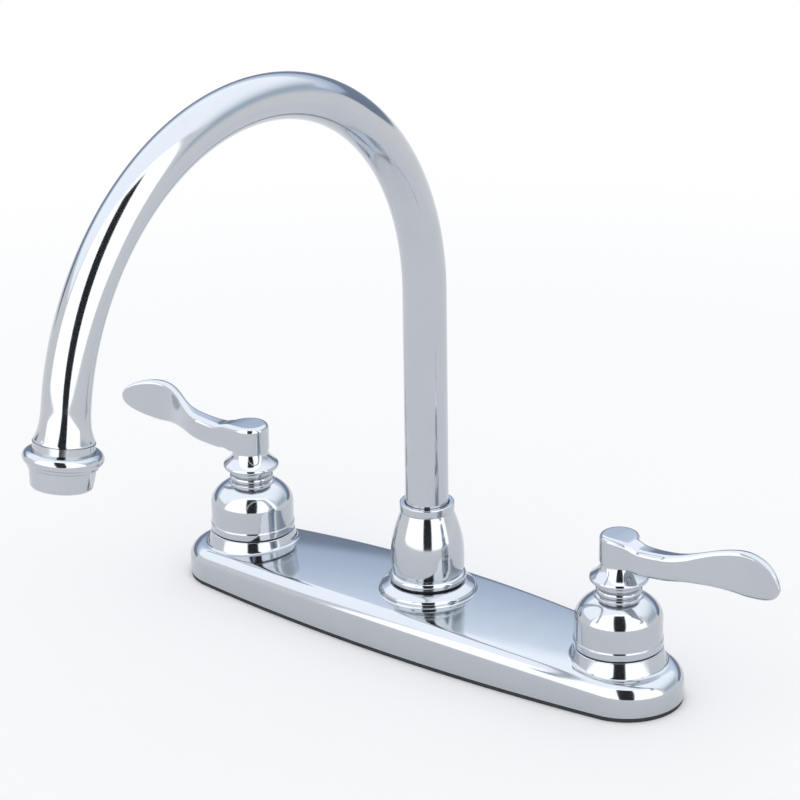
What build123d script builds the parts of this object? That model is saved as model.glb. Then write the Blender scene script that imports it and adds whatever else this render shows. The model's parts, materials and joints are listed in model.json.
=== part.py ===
"""Two-handle kitchen faucet with a swivelling gooseneck spout, standing on its deck plate.

Millimetres. +Z is up, +X is to the user's right and -Y is towards the user.
The origin is on the deck surface, under the spout's axis.
"""
import os
from math import atan2, cos, pi, radians, sin

from build123d import *

os.makedirs("parts", exist_ok=True)

# ---------------------------------------------------------------- clearances
running_clearance = 0.08      # radial, between a shaft and its bearing
passing_gap = 0.3             # round what passes freely through a hole
face_gap = 0.1                # between flat faces that slide over each other
seal_joint = 0.6              # thickness of the flat seals under bonnets and nut
edge_break = 0.5              # small turned-off edges

# ---------------------------------------------------------------- deck plate and gasket
handle_spacing = 203.2        # the standard eight inches between the handles
plate_end_reach = 29.4        # from a handle's axis to the plate's end
plate_end_radius = 24.6
plate_half_depth = 31.2       # at the middle of the bowed sides
plate_forward = 1.3           # the plate's middle line lies this far in front of the posts
plate_crest = 20.2            # height of the crowned top at its middle, above the deck
crown_length_radius = 1550.0  # of the crown along the plate
crown_depth_radius = 400.0    # of the crown across the plate
plate_edge_round = 6.5
plate_wall = 2.0
gasket_thickness = 2.0
gasket_inset = 0.4

handle_x = handle_spacing / 2
plate_half_length = handle_x + plate_end_reach

# ---------------------------------------------------------------- raised seats on the plate
handle_seat_top = 22.6        # height above the deck
handle_seat_radius = 19.0
handle_foot_radius = 20.6     # the wall widens evenly down into the plate
handle_foot_bottom = 13.8
handle_foot_round = 1.6       # where the wall meets the plate's top
spout_seat_top = 24.4         # height above the deck
spout_seat_top_radius = 16.9
spout_seat_slope_radius = 20.4
spout_seat_slope_bottom = 22.6
spout_seat_rim_radius = 21.2
spout_seat_rim_bottom = 20.9
spout_foot_bottom = 19.0
spout_foot_spread = 1.4

# ---------------------------------------------------------------- brass waterway
casting_lift = 0.5            # the casting's underside stays off the deck
socket_radius = 13.0          # outside thread of the valve sockets and the spout post
socket_thread = 9.6           # length of thread above a handle seat
inlet_radius = 9.53           # half-inch straight pipe thread, minor radius
inlet_depth = 7.0
valve_web = 1.5               # between the inlet and the valve bore
valve_port_radius = 4.0
valve_bore_radius = 9.0
cross_tube_height = 10.9
cross_tube_radius = 4.2
cross_bore_radius = 2.8
post_thread = 15.6            # length of thread above the spout seat
post_bore_radius = 9.1
post_bore_depth = 20.0

valve_seat = casting_lift + inlet_depth + valve_web
socket_top = handle_seat_top + socket_thread
post_bottom = gasket_thickness + passing_gap
post_top = spout_seat_top + post_thread
post_floor = post_top - post_bore_depth

# ---------------------------------------------------------------- valve cartridge
seat_seal_thickness = 1.5
cartridge_shell = 1.1
fixed_disc_thickness = 2.0
turning_disc_thickness = 2.5
disc_hole_radius = 2.2
disc_hole_offset = 4.4
driver_radius = 6.4
driver_thickness = 3.0
cartridge_flange_thickness = 2.2
cartridge_neck_radius = 7.3
cartridge_neck_drop = 1.6     # the cartridge's neck ends below the bonnet's top
window_width = 6.0
window_height = 3.4
stem_radius = 4.0
stem_ring_section = 1.6       # thickness of the stem's sealing ring
stem_ring_height = 8.0        # above the cartridge's flange

disc_radius = valve_bore_radius - cartridge_shell
fixed_disc_bottom = valve_seat + seat_seal_thickness
turning_disc_bottom = fixed_disc_bottom + fixed_disc_thickness + face_gap
driver_bottom = turning_disc_bottom + turning_disc_thickness
driver_top = driver_bottom + driver_thickness
cartridge_flange_top = socket_top + cartridge_flange_thickness
stem_ring_level = cartridge_flange_top + stem_ring_height

# ---------------------------------------------------------------- bonnet, the bell round the valve
seal_width = 5.2
bonnet_radius = 18.7
bonnet_lip_height = 3.4
bonnet_lip_projection = 0.35
bonnet_side_height = 12.5     # to where the shoulder begins to turn in
bonnet_shoulder_height = 22.0
bonnet_chamber_radius = 11.0
bonnet_roof = 2.6
bonnet_hole_gap = 0.3         # round the cartridge's neck
neck_radius = 9.0
neck_ring_radius = 10.4
neck_bead_radius = 9.9
neck_length = 6.7

bonnet_bottom = handle_seat_top + seal_joint
bonnet_shoulder = bonnet_bottom + bonnet_shoulder_height
bonnet_top = bonnet_shoulder + neck_length
cartridge_neck_top = bonnet_top - cartridge_neck_drop

# ---------------------------------------------------------------- handle skirt and lever hub
skirt_gap = 0.4
skirt_height = 9.0
skirt_foot_radius = 10.6
skirt_rim_radius = 12.6
skirt_rim_height = 1.1
skirt_rim_thickness = 2.3
skirt_neck_radius = 7.8
skirt_hollow_radius = 6.4
skirt_hollow_depth = 4.0
hub_radius = 8.5
hub_height = 12.0
hub_edge_round = 2.2
hub_roof = 3.6                # metal above the stem's bore
screw_radius = 2.0
screw_height = 4.6            # above the lever's underside
screw_recess = 0.4
screw_socket_radius = 1.0
screw_socket_depth = 2.0

skirt_bottom = bonnet_top + skirt_gap
skirt_top = skirt_bottom + skirt_height
hub_top = skirt_top + hub_height
stem_bore_top = hub_top - hub_roof
stem_top = stem_bore_top - passing_gap

# ---------------------------------------------------------------- lever arm and paddle
lever_reach = 78.2            # handle axis to the lever's tip
tip_start = 57.4              # where the paddle begins to close
arm_half_height = 5.7
arm_half_width = 5.2
arm_edge_radius = 2.6
arm_lift = 0.15               # of the arm's underside over the hub's
arm_dip = 1.1                 # the arm sinks past the skirt before it rises
arm_front = -8.4              # the arm's near face runs out just inside the hub's front
dip_start, dip_end = 7.0, 14.0        # distances from the handle's axis
thinning_end = 48.0
paddle_half_height = 9.5
paddle_half_width = 2.3
paddle_front = 3.1            # the paddle's near face lies behind the handle's axis
paddle_rise = 2.9             # of the paddle's middle over the arm's
paddle_lean = 5.0             # degrees, its top away from the user
bend_start, bend_end = 25.4, 56.8     # where the near face moves back
rise_start, rise_end = 14.0, 48.0
swell_start, swell_end = 29.4, 60.7   # where the paddle's height grows
lean_start, lean_end = 5.0, 50.0
tip_offset = -6.2             # the tip curls back towards the user
tip_share = 0.14              # of the paddle's section left at the very tip
edge_share = 0.86             # edge radius as a share of half the thickness
arm_stations = 8
tip_stations = 5

# ---------------------------------------------------------------- spout nut
nut_bead_radius = 17.0
nut_bead_height = 4.0
nut_foot_radius = 15.4
nut_belly_radius = 16.0
nut_belly_height = 13.5
nut_shoulder_radius = 11.7
nut_lip_radius = 11.95
nut_lip_height = 3.9
nut_lip_groove = 0.9
nut_height = 36.6

nut_bottom = spout_seat_top + seal_joint
nut_top = nut_bottom + nut_height
nut_lip_bottom = nut_top - nut_lip_height
nut_shoulder = nut_lip_bottom - nut_lip_groove

# ---------------------------------------------------------------- spout tube
tube_radius = 9.45            # three-quarter-inch tube
tube_wall = 1.0
arch_start = 158.0            # height at which the tube begins to bend
arch_radius = 107.8
arch_angle = 171.3            # degrees
leg_length = 0.6              # straight tube before the flare
flare_length = 13.5
flare_radius = 11.65
flare_edge = 0.8

tube_bore = tube_radius - tube_wall

# ---------------------------------------------------------------- spout journal, which turns in the post
washer_thickness = 1.0
collar_thickness = 2.0
collar_radius = 12.2
journal_length = 17.0
journal_bore = 6.4
spigot_length = 10.0
bushing_length = 8.0
bushing_radius = 11.2
journal_ring_section = 1.6
journal_ring_spacing = 6.0

journal_radius = post_bore_radius - running_clearance
collar_bottom = post_top + washer_thickness + face_gap
collar_top = collar_bottom + collar_thickness
journal_bottom = collar_bottom - journal_length
bushing_bottom = collar_top + face_gap
bushing_top = bushing_bottom + bushing_length

# ---------------------------------------------------------------- outlet, measured from the flare's rim
outlet_flange_radius = 11.95
outlet_flange_height = 3.4
outlet_bead_radius = 15.45
outlet_bead_height = 5.0
outlet_foot_radius = 13.7
outlet_foot_height = 1.1
outlet_spigot_length = 10.0
outlet_bore_radius = 7.0
outlet_thread_radius = 11.0
outlet_thread_depth = 6.4
outlet_washer_thickness = 1.2
housing_gap = 0.3
housing_radius = 12.8
housing_mouth_radius = 11.4
housing_height = 8.0
housing_mouth_round = 1.2
housing_bore_radius = 9.4
housing_sill_height = 1.6     # the inward lip that holds the insert
housing_sill_width = 1.2
housing_flat_distance = 11.9
housing_flat_turn = -26.0     # degrees about the outlet's axis
insert_length = 10.0
insert_hole_radius = 0.9
screen_thickness = 0.6
screen_hole_radius = 0.7
hole_pitch = 2.9

outlet_length = outlet_flange_height + outlet_bead_height + outlet_foot_height
thread_start = outlet_length - outlet_thread_depth
housing_start = thread_start + outlet_washer_thickness
housing_shoulder = outlet_length + housing_gap
housing_end = housing_shoulder + housing_height
insert_end = housing_end - housing_sill_height
insert_start = insert_end - insert_length

# ---------------------------------------------------------------- shared geometry
leg_turn = radians(arch_angle)
leg_direction = Vector(0, -sin(leg_turn), cos(leg_turn))
arch_end = Vector(0, -arch_radius * (1 - cos(leg_turn)), arch_start + arch_radius * sin(leg_turn))
flare_rim = arch_end + leg_direction * (leg_length + flare_length)
outlet_axis = Axis(flare_rim, leg_direction)
outlet_profile = Plane(origin=flare_rim, x_dir=(1, 0, 0), z_dir=Vector(1, 0, 0).cross(leg_direction))


def outlet_plane(distance):
    """The plane square to the outlet's axis, at a distance past the flare's rim."""
    return Plane(origin=flare_rim + leg_direction * distance, x_dir=(1, 0, 0), z_dir=leg_direction)


def upright_plane(x):
    """The plane through the upright axis at x: its coordinates are radius and height."""
    return Plane(origin=(x, 0, 0), x_dir=(1, 0, 0), z_dir=(0, -1, 0))


def upright_axis(x):
    """The upright axis at x."""
    return Axis((x, 0, 0), (0, 0, 1))


def save(builder, name):
    """Label a finished piece and write it."""
    builder.part.label = name
    export_step(builder.part, f"parts/{name}.step")


def ring(inner, outer, bottom, top, mode=Mode.ADD):
    """In an open profile sketch, the section of a round ring between two radii and two heights."""
    with Locations(((inner + outer) / 2, (bottom + top) / 2)):
        Rectangle(outer - inner, top - bottom, mode=mode)


def plate_outline(inset):
    """In an open sketch, the plate's outline drawn in by an inset: bowed sides and round ends."""
    end_x = plate_half_length - plate_end_radius
    bow = plate_half_depth - plate_end_radius
    side_radius = (end_x**2 / bow + plate_half_depth + plate_end_radius) / 2
    turn = atan2(end_x, side_radius - plate_half_depth)
    join_x = end_x + (plate_end_radius - inset) * sin(turn)
    join_y = (plate_end_radius - inset) * cos(turn)
    side_y = plate_half_depth - inset
    end_tip = plate_half_length - inset
    middle = -plate_forward
    front, back = middle - join_y, middle + join_y
    with BuildLine() as outline:
        ThreePointArc((-join_x, front), (0, middle - side_y), (join_x, front))
        ThreePointArc((join_x, front), (end_tip, middle), (join_x, back))
        ThreePointArc((join_x, back), (0, middle + side_y), (-join_x, back))
        ThreePointArc((-join_x, back), (-end_tip, middle), (-join_x, front))
    make_face(outline.edges())


def crown_section(inset):
    """In an open sketch across the plate, all that lies under the crowned top, drawn in by an inset."""
    crest = plate_crest - inset
    edge = crest - crown_depth_radius + (crown_depth_radius**2 - plate_half_depth**2) ** 0.5
    front, back = -plate_forward - plate_half_depth, -plate_forward + plate_half_depth
    with BuildLine() as section:
        ThreePointArc((front, edge), (-plate_forward, crest), (back, edge))
        Polyline((back, edge), (back, 0), (front, 0), (front, edge))
    make_face(section.edges())


def crown_axis(inset):
    """The level axis, far under the deck, about which the plate's crown along its length is turned."""
    return Axis((0, 0, plate_crest - inset - crown_length_radius), (0, 1, 0))


def eased(start, end, place):
    """0 before start, 1 after end, and a smooth rise between them."""
    share = min(max((place - start) / (end - start), 0), 1)
    return share * share * (3 - 2 * share)


# ---------------------------------------------------------------- gasket
with BuildPart() as base_gasket:
    with BuildSketch():
        plate_outline(gasket_inset)
        with Locations((-handle_x, 0), (handle_x, 0)):
            Circle(socket_radius + passing_gap, mode=Mode.SUBTRACT)
    extrude(amount=gasket_thickness)
save(base_gasket, "base_gasket")

# ---------------------------------------------------------------- deck plate
with BuildPart() as plate_core:
    with BuildSketch(Plane.XY.offset(gasket_thickness)):
        plate_outline(plate_wall)
    extrude(amount=plate_crest)
    with BuildSketch(Plane.YZ):
        crown_section(plate_wall)
    revolve(axis=crown_axis(plate_wall), mode=Mode.INTERSECT)
    fillet(plate_core.faces().sort_by(Axis.Z)[-1].edges(), plate_edge_round - plate_wall)

with BuildPart() as deck_plate:
    with BuildSketch(Plane.XY.offset(gasket_thickness)):
        plate_outline(0)
    extrude(amount=plate_crest)
    with BuildSketch(Plane.YZ):
        crown_section(0)
    revolve(axis=crown_axis(0), mode=Mode.INTERSECT)
    fillet(deck_plate.faces().sort_by(Axis.Z)[-1].edges(), plate_edge_round)
    # Round seats under the handles, which widen down into the plate
    for seat_x in (-handle_x, handle_x):
        with BuildSketch(upright_plane(seat_x)):
            with BuildLine():
                Polyline(
                    (handle_foot_radius, handle_foot_bottom),
                    (0, handle_foot_bottom),
                    (0, handle_seat_top),
                    (handle_seat_radius - edge_break, handle_seat_top),
                    (handle_seat_radius, handle_seat_top - edge_break),
                    (handle_foot_radius, handle_foot_bottom),
                )
            make_face()
        revolve(axis=upright_axis(seat_x))
        around_seat = [
            edge for edge in deck_plate.edges(Select.NEW)
            if edge.bounding_box().max.Z < handle_seat_top - 2 * edge_break
        ]
        fillet(around_seat, handle_foot_round)
    # A wider sloping seat under the spout nut
    with BuildSketch(upright_plane(0)):
        with BuildLine():
            foot_radius = spout_seat_rim_radius + spout_foot_spread
            Polyline(
                (foot_radius, spout_foot_bottom),
                (0, spout_foot_bottom),
                (0, spout_seat_top),
                (spout_seat_top_radius, spout_seat_top),
                (spout_seat_slope_radius, spout_seat_slope_bottom),
            )
            Spline(
                (spout_seat_slope_radius, spout_seat_slope_bottom),
                (spout_seat_rim_radius, spout_seat_rim_bottom),
                tangents=((2, -1), (0, -1)),
            )
            Spline(
                (spout_seat_rim_radius, spout_seat_rim_bottom),
                (foot_radius, spout_foot_bottom),
                tangents=((0, -1), (1, -1)),
            )
        make_face()
    revolve(axis=upright_axis(0))
    add(plate_core.part, mode=Mode.SUBTRACT)
    with BuildSketch():
        with Locations((-handle_x, 0), (0, 0), (handle_x, 0)):
            Circle(socket_radius + passing_gap)
    extrude(amount=max(spout_seat_top, handle_seat_top), mode=Mode.SUBTRACT)
save(deck_plate, "deck_plate")

# ---------------------------------------------------------------- brass waterway
with BuildPart() as waterway_body:
    with BuildSketch(Plane.XY.offset(casting_lift)):
        with Locations((-handle_x, 0), (handle_x, 0)):
            Circle(socket_radius)
    extrude(amount=socket_top - casting_lift)
    with BuildSketch(Plane.XY.offset(post_bottom)):
        Circle(socket_radius)
    extrude(amount=post_top - post_bottom)
    with BuildSketch(Plane.YZ.offset(-handle_x)):
        with Locations((0, cross_tube_height)):
            Circle(cross_tube_radius)
    extrude(amount=handle_spacing)
    # Threaded inlets, ports and valve bores
    for valve_x in (-handle_x, handle_x):
        with BuildSketch(upright_plane(valve_x)):
            ring(0, inlet_radius, casting_lift, casting_lift + inlet_depth)
            ring(0, valve_port_radius, casting_lift, socket_top)
            ring(0, valve_bore_radius, valve_seat, socket_top)
        revolve(axis=upright_axis(valve_x), mode=Mode.SUBTRACT)
    # The post's bore and the passage that feeds it
    with BuildSketch(upright_plane(0)):
        ring(0, post_bore_radius, post_floor, post_top)
        ring(0, journal_bore, cross_tube_height, post_top)
    revolve(axis=upright_axis(0), mode=Mode.SUBTRACT)
    passage_half_length = handle_x - valve_bore_radius + cross_bore_radius
    with BuildSketch(Plane.YZ.offset(-passage_half_length)):
        with Locations((0, cross_tube_height)):
            Circle(cross_bore_radius)
    extrude(amount=2 * passage_half_length, mode=Mode.SUBTRACT)
save(waterway_body, "waterway_body")

# ---------------------------------------------------------------- the two valves and their handles
for side, sign in (("left", -1), ("right", 1)):
    valve_x = sign * handle_x
    valve_axis = upright_axis(valve_x)
    upright = upright_plane(valve_x)

    with BuildPart() as bonnet_seal:
        with BuildSketch(upright):
            ring(socket_radius, socket_radius + seal_width, handle_seat_top, bonnet_bottom)
        revolve(axis=valve_axis)
    save(bonnet_seal, f"{side}_bonnet_seal")

    # A bell with a bead at its foot and rings round its neck
    with BuildPart() as bonnet:
        with BuildSketch(upright):
            lip_radius = bonnet_radius + bonnet_lip_projection
            lip_top = bonnet_bottom + bonnet_lip_height
            side_top = bonnet_bottom + bonnet_side_height
            step = neck_length / 8
            ring_top = bonnet_shoulder + 1.2 * step
            bead_bottom = bonnet_shoulder + 2.0 * step
            bead_top = bonnet_shoulder + 5.0 * step
            with BuildLine():
                Polyline(
                    (0, bonnet_top),
                    (0, bonnet_bottom),
                    (lip_radius - edge_break, bonnet_bottom),
                    (lip_radius, bonnet_bottom + edge_break),
                    (lip_radius, lip_top - edge_break),
                    (bonnet_radius, lip_top),
                    (bonnet_radius, side_top),
                )
                Spline(
                    (bonnet_radius, side_top),
                    (neck_ring_radius, bonnet_shoulder),
                    tangents=((0, 1), (-3, 1)),
                )
                Polyline(
                    (neck_ring_radius, bonnet_shoulder),
                    (neck_ring_radius, ring_top),
                    (neck_radius, bead_bottom),
                )
                ThreePointArc(
                    (neck_radius, bead_bottom),
                    (neck_bead_radius, (bead_bottom + bead_top) / 2),
                    (neck_radius, bead_top),
                )
                Polyline(
                    (neck_radius, bead_top),
                    (neck_radius - edge_break, bead_top + step / 2),
                    (neck_radius + edge_break, bead_top + step),
                    (neck_radius + edge_break, bonnet_top - edge_break),
                    (neck_radius, bonnet_top),
                    (0, bonnet_top),
                )
            make_face()
            ring(0, socket_radius, bonnet_bottom, cartridge_flange_top, mode=Mode.SUBTRACT)
            ring(0, bonnet_chamber_radius, cartridge_flange_top, bonnet_shoulder - bonnet_roof,
                 mode=Mode.SUBTRACT)
            ring(0, cartridge_neck_radius + bonnet_hole_gap, bonnet_bottom, bonnet_top,
                 mode=Mode.SUBTRACT)
        revolve(axis=valve_axis)
    save(bonnet, f"{side}_bonnet")

    with BuildPart() as seat_seal:
        with BuildSketch(upright):
            ring(valve_port_radius, disc_radius, valve_seat, fixed_disc_bottom)
        revolve(axis=valve_axis)
    save(seat_seal, f"{side}_seat_seal")

    # Shell round the discs, a flange clamped by the bonnet and a neck that guides the stem
    with BuildPart() as cartridge_body:
        with BuildSketch(upright):
            ring(0, valve_bore_radius, valve_seat, socket_top)
            ring(0, socket_radius - passing_gap, socket_top, cartridge_flange_top)
            ring(0, cartridge_neck_radius, cartridge_flange_top, cartridge_neck_top)
            ring(0, disc_radius, valve_seat, driver_top + passing_gap, mode=Mode.SUBTRACT)
            ring(0, stem_radius + running_clearance, valve_seat, cartridge_neck_top,
                 mode=Mode.SUBTRACT)
        revolve(axis=valve_axis)
        with BuildSketch(Plane.YZ.offset(valve_x - valve_bore_radius)):
            with Locations((0, turning_disc_bottom + window_height / 2)):
                Rectangle(window_width, window_height)
        extrude(amount=2 * valve_bore_radius, mode=Mode.SUBTRACT)
    save(cartridge_body, f"{side}_cartridge_body")

    with BuildPart() as fixed_disc:
        with BuildSketch(Plane(origin=(valve_x, 0, fixed_disc_bottom))):
            Circle(disc_radius)
            with PolarLocations(disc_hole_offset, 2):
                Circle(disc_hole_radius, mode=Mode.SUBTRACT)
        extrude(amount=fixed_disc_thickness)
    save(fixed_disc, f"{side}_fixed_disc")

    with BuildPart() as turning_disc:
        with BuildSketch(Plane(origin=(valve_x, 0, turning_disc_bottom))):
            Circle(disc_radius - passing_gap)
            with PolarLocations(disc_hole_offset, 2, start_angle=90):
                Circle(disc_hole_radius, mode=Mode.SUBTRACT)
        extrude(amount=turning_disc_thickness)
    save(turning_disc, f"{side}_turning_disc")

    with BuildPart() as cartridge_stem:
        with BuildSketch(upright):
            groove_floor = stem_radius - stem_ring_section
            groove_half = stem_ring_section / 2 + face_gap
            ring(0, driver_radius, driver_bottom, driver_top)
            ring(0, stem_radius, driver_bottom, stem_top)
            ring(groove_floor, stem_radius, stem_ring_level - groove_half,
                 stem_ring_level + groove_half, mode=Mode.SUBTRACT)
        revolve(axis=valve_axis)
    save(cartridge_stem, f"{side}_cartridge_stem")

    with BuildPart() as stem_ring:
        with BuildSketch(upright):
            with Locations((stem_radius - stem_ring_section / 2, stem_ring_level)):
                Circle(stem_ring_section / 2)
        revolve(axis=valve_axis)
    save(stem_ring, f"{side}_stem_ring")

    # A spool with a rounded rim, which hides the valve's neck
    with BuildPart() as handle_skirt:
        with BuildSketch(upright):
            rim_level = skirt_bottom + skirt_rim_height
            rim_top = skirt_bottom + skirt_rim_thickness
            with BuildLine():
                Line((0, skirt_bottom), (skirt_foot_radius, skirt_bottom))
                ThreePointArc(
                    (skirt_foot_radius, skirt_bottom),
                    (skirt_rim_radius, rim_level),
                    (skirt_rim_radius - edge_break, rim_top),
                )
                Spline(
                    (skirt_rim_radius - edge_break, rim_top),
                    (skirt_neck_radius, skirt_top),
                    tangents=((-5, 4), (0, 1)),
                )
                Polyline((skirt_neck_radius, skirt_top), (0, skirt_top), (0, skirt_bottom))
            make_face()
            ring(0, skirt_hollow_radius, skirt_bottom, skirt_bottom + skirt_hollow_depth,
                 mode=Mode.SUBTRACT)
            ring(0, stem_radius, skirt_bottom, skirt_top, mode=Mode.SUBTRACT)
        revolve(axis=valve_axis)
    save(handle_skirt, f"{side}_handle_skirt")

    # The arm leaves the hub flush with its near side, rises, thins and leans back into a paddle
    with BuildPart() as lever:
        with BuildSketch(Plane.XY.offset(skirt_top)):
            with Locations((valve_x, 0)):
                Circle(hub_radius)
        extrude(amount=hub_height)
        fillet(lever.faces().sort_by(Axis.Z)[-1].edges(), hub_edge_round)
        stations = [tip_start * index / arm_stations for index in range(arm_stations)]
        stations += [
            tip_start + (lever_reach - tip_start) * sin(pi / 2 * index / tip_stations)
            for index in range(tip_stations + 1)
        ]
        for place in stations:
            past_start = max(place - tip_start, 0) / (lever_reach - tip_start)
            closing = max((1 - past_start**2) ** 0.5, tip_share)
            half_height = arm_half_height
            half_height += (paddle_half_height - arm_half_height) * eased(swell_start, swell_end, place)
            half_width = arm_half_width
            half_width += (paddle_half_width - arm_half_width) * eased(0, thinning_end, place)
            near_face = arm_front + (paddle_front - arm_front) * eased(bend_start, bend_end, place)
            middle_y = near_face + half_width + tip_offset * past_start**2
            middle_z = skirt_top + arm_lift + arm_half_height - arm_dip * eased(dip_start, dip_end, place)
            middle_z += paddle_rise * eased(rise_start, rise_end, place)
            lean = radians(paddle_lean) * eased(lean_start, lean_end, place)
            half_height *= closing
            half_width *= closing
            section = Plane(
                origin=(valve_x + sign * place, middle_y, middle_z),
                x_dir=(0, cos(lean), -sin(lean)),
                z_dir=(1, 0, 0),
            )
            with BuildSketch(section):
                edge_radius = min(arm_edge_radius, edge_share * half_width)
                RectangleRounded(2 * half_width, 2 * half_height, edge_radius)
        loft()
        with BuildSketch(Plane.XY.offset(skirt_top)):
            with Locations((valve_x, 0)):
                Circle(stem_radius)
        extrude(amount=stem_bore_top - skirt_top, mode=Mode.SUBTRACT)
        with BuildSketch(Plane.XZ):
            with Locations((valve_x, skirt_top + screw_height)):
                Circle(screw_radius)
        extrude(amount=-hub_radius, mode=Mode.SUBTRACT)
    save(lever, f"{side}_lever")

    with BuildPart() as set_screw:
        with BuildSketch(Plane.XZ.offset(-stem_radius)):
            with Locations((valve_x, skirt_top + screw_height)):
                Circle(screw_radius)
        extrude(amount=-(hub_radius - stem_radius - screw_recess))
        with BuildSketch(Plane.XZ.offset(screw_recess - hub_radius)):
            with Locations((valve_x, skirt_top + screw_height)):
                RegularPolygon(screw_socket_radius, 6)
        extrude(amount=screw_socket_depth, mode=Mode.SUBTRACT)
    save(set_screw, f"{side}_set_screw")

# ---------------------------------------------------------------- spout nut and its bearing pieces
with BuildPart() as spout_seal:
    with BuildSketch(upright_plane(0)):
        ring(socket_radius, nut_foot_radius - edge_break, spout_seat_top, nut_bottom)
    revolve(axis=upright_axis(0))
save(spout_seal, "spout_seal")

# A barrel with a bead at its foot and a turned lip at its top
with BuildPart() as spout_nut:
    with BuildSketch(upright_plane(0)):
        bead_top = nut_bottom + nut_bead_height
        belly = nut_bottom + nut_belly_height
        with BuildLine():
            Polyline((0, nut_top), (0, nut_bottom), (nut_foot_radius, nut_bottom))
            ThreePointArc(
                (nut_foot_radius, nut_bottom),
                (nut_bead_radius, (nut_bottom + bead_top) / 2),
                (nut_foot_radius, bead_top),
            )
            Spline(
                (nut_foot_radius, bead_top),
                (nut_belly_radius, belly),
                (nut_shoulder_radius, nut_shoulder),
            )
            Polyline(
                (nut_shoulder_radius, nut_shoulder),
                (nut_shoulder_radius - edge_break / 2, nut_lip_bottom),
                (nut_lip_radius, nut_lip_bottom + edge_break),
                (nut_lip_radius, nut_top - edge_break),
                (nut_lip_radius - edge_break, nut_top),
                (0, nut_top),
            )
        make_face()
        ring(0, socket_radius, nut_bottom, bushing_bottom, mode=Mode.SUBTRACT)
        ring(0, bushing_radius, bushing_bottom, bushing_top, mode=Mode.SUBTRACT)
        ring(0, tube_radius + passing_gap, nut_bottom, nut_top, mode=Mode.SUBTRACT)
    revolve(axis=upright_axis(0))
save(spout_nut, "spout_nut")

with BuildPart() as thrust_washer:
    with BuildSketch(upright_plane(0)):
        ring(post_bore_radius, socket_radius, post_top, post_top + washer_thickness)
    revolve(axis=upright_axis(0))
save(thrust_washer, "spout_thrust_washer")

with BuildPart() as bushing:
    with BuildSketch(upright_plane(0)):
        ring(tube_radius + running_clearance, bushing_radius, bushing_bottom, bushing_top)
    revolve(axis=upright_axis(0))
save(bushing, "spout_bushing")

# ---------------------------------------------------------------- spout journal and sealing rings
journal_ring_levels = [
    collar_bottom - journal_ring_spacing * (index + 1) + journal_ring_spacing / 3 for index in range(2)
]

with BuildPart() as spout_journal:
    with BuildSketch(upright_plane(0)):
        groove_half = journal_ring_section / 2 + face_gap
        ring(journal_bore, journal_radius, journal_bottom, collar_bottom)
        ring(journal_bore, collar_radius, collar_bottom, collar_top)
        ring(journal_bore, tube_bore, collar_top, collar_top + spigot_length)
        for level in journal_ring_levels:
            ring(journal_radius - journal_ring_section, journal_radius, level - groove_half,
                 level + groove_half, mode=Mode.SUBTRACT)
    revolve(axis=upright_axis(0))
save(spout_journal, "spout_journal")

for place, level in zip(("upper", "lower"), journal_ring_levels):
    with BuildPart() as journal_ring:
        with BuildSketch(upright_plane(0)):
            with Locations((journal_radius - journal_ring_section / 2, level)):
                Circle(journal_ring_section / 2)
        revolve(axis=upright_axis(0))
    save(journal_ring, f"spout_{place}_ring")

# ---------------------------------------------------------------- gooseneck tube with its flared end
with BuildPart() as spout_tube:
    with BuildLine(Plane.YZ) as tube_path:
        rise = Line((0, collar_top), (0, arch_start))
        arch = JernArc(start=rise @ 1, tangent=rise % 1, radius=arch_radius, arc_size=arch_angle)
        PolarLine(start=arch @ 1, length=leg_length + flare_length, direction=arch % 1)
    with BuildSketch(Plane.XY.offset(collar_top)):
        Circle(tube_radius)
        Circle(tube_bore, mode=Mode.SUBTRACT)
    sweep(path=tube_path.wires()[0])
    with BuildSketch(outlet_profile):
        with BuildLine():
            Polyline(
                (tube_radius, -flare_length),
                (tube_bore, -flare_length),
                (tube_bore, 0),
                (flare_radius, 0),
                (flare_radius, -flare_edge),
            )
            Spline(
                (flare_radius, -flare_edge),
                (tube_radius, -flare_length),
                tangents=((-1, -2), (0, -1)),
            )
        make_face()
    revolve(axis=outlet_axis)
save(spout_tube, "spout_tube")

# ---------------------------------------------------------------- outlet collar, aerator and screen
with BuildPart() as outlet_collar:
    with BuildSketch(outlet_profile):
        bead_end = outlet_flange_height + outlet_bead_height
        with BuildLine():
            Polyline(
                (0, -outlet_spigot_length),
                (tube_bore, -outlet_spigot_length),
                (tube_bore, 0),
                (outlet_flange_radius, 0),
                (outlet_flange_radius, outlet_flange_height),
            )
            ThreePointArc(
                (outlet_flange_radius, outlet_flange_height),
                (outlet_bead_radius, outlet_flange_height + outlet_bead_height / 2),
                (outlet_foot_radius, bead_end),
            )
            Polyline(
                (outlet_foot_radius, bead_end),
                (outlet_foot_radius - edge_break / 2, outlet_length),
                (0, outlet_length),
                (0, -outlet_spigot_length),
            )
        make_face()
        ring(0, outlet_bore_radius, -outlet_spigot_length, outlet_length, mode=Mode.SUBTRACT)
        ring(0, outlet_thread_radius, thread_start, outlet_length, mode=Mode.SUBTRACT)
    revolve(axis=outlet_axis)
save(outlet_collar, "outlet_collar")

with BuildPart() as outlet_washer:
    with BuildSketch(outlet_profile):
        ring(outlet_bore_radius, outlet_thread_radius, thread_start, housing_start)
    revolve(axis=outlet_axis)
save(outlet_washer, "outlet_washer")

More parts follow.
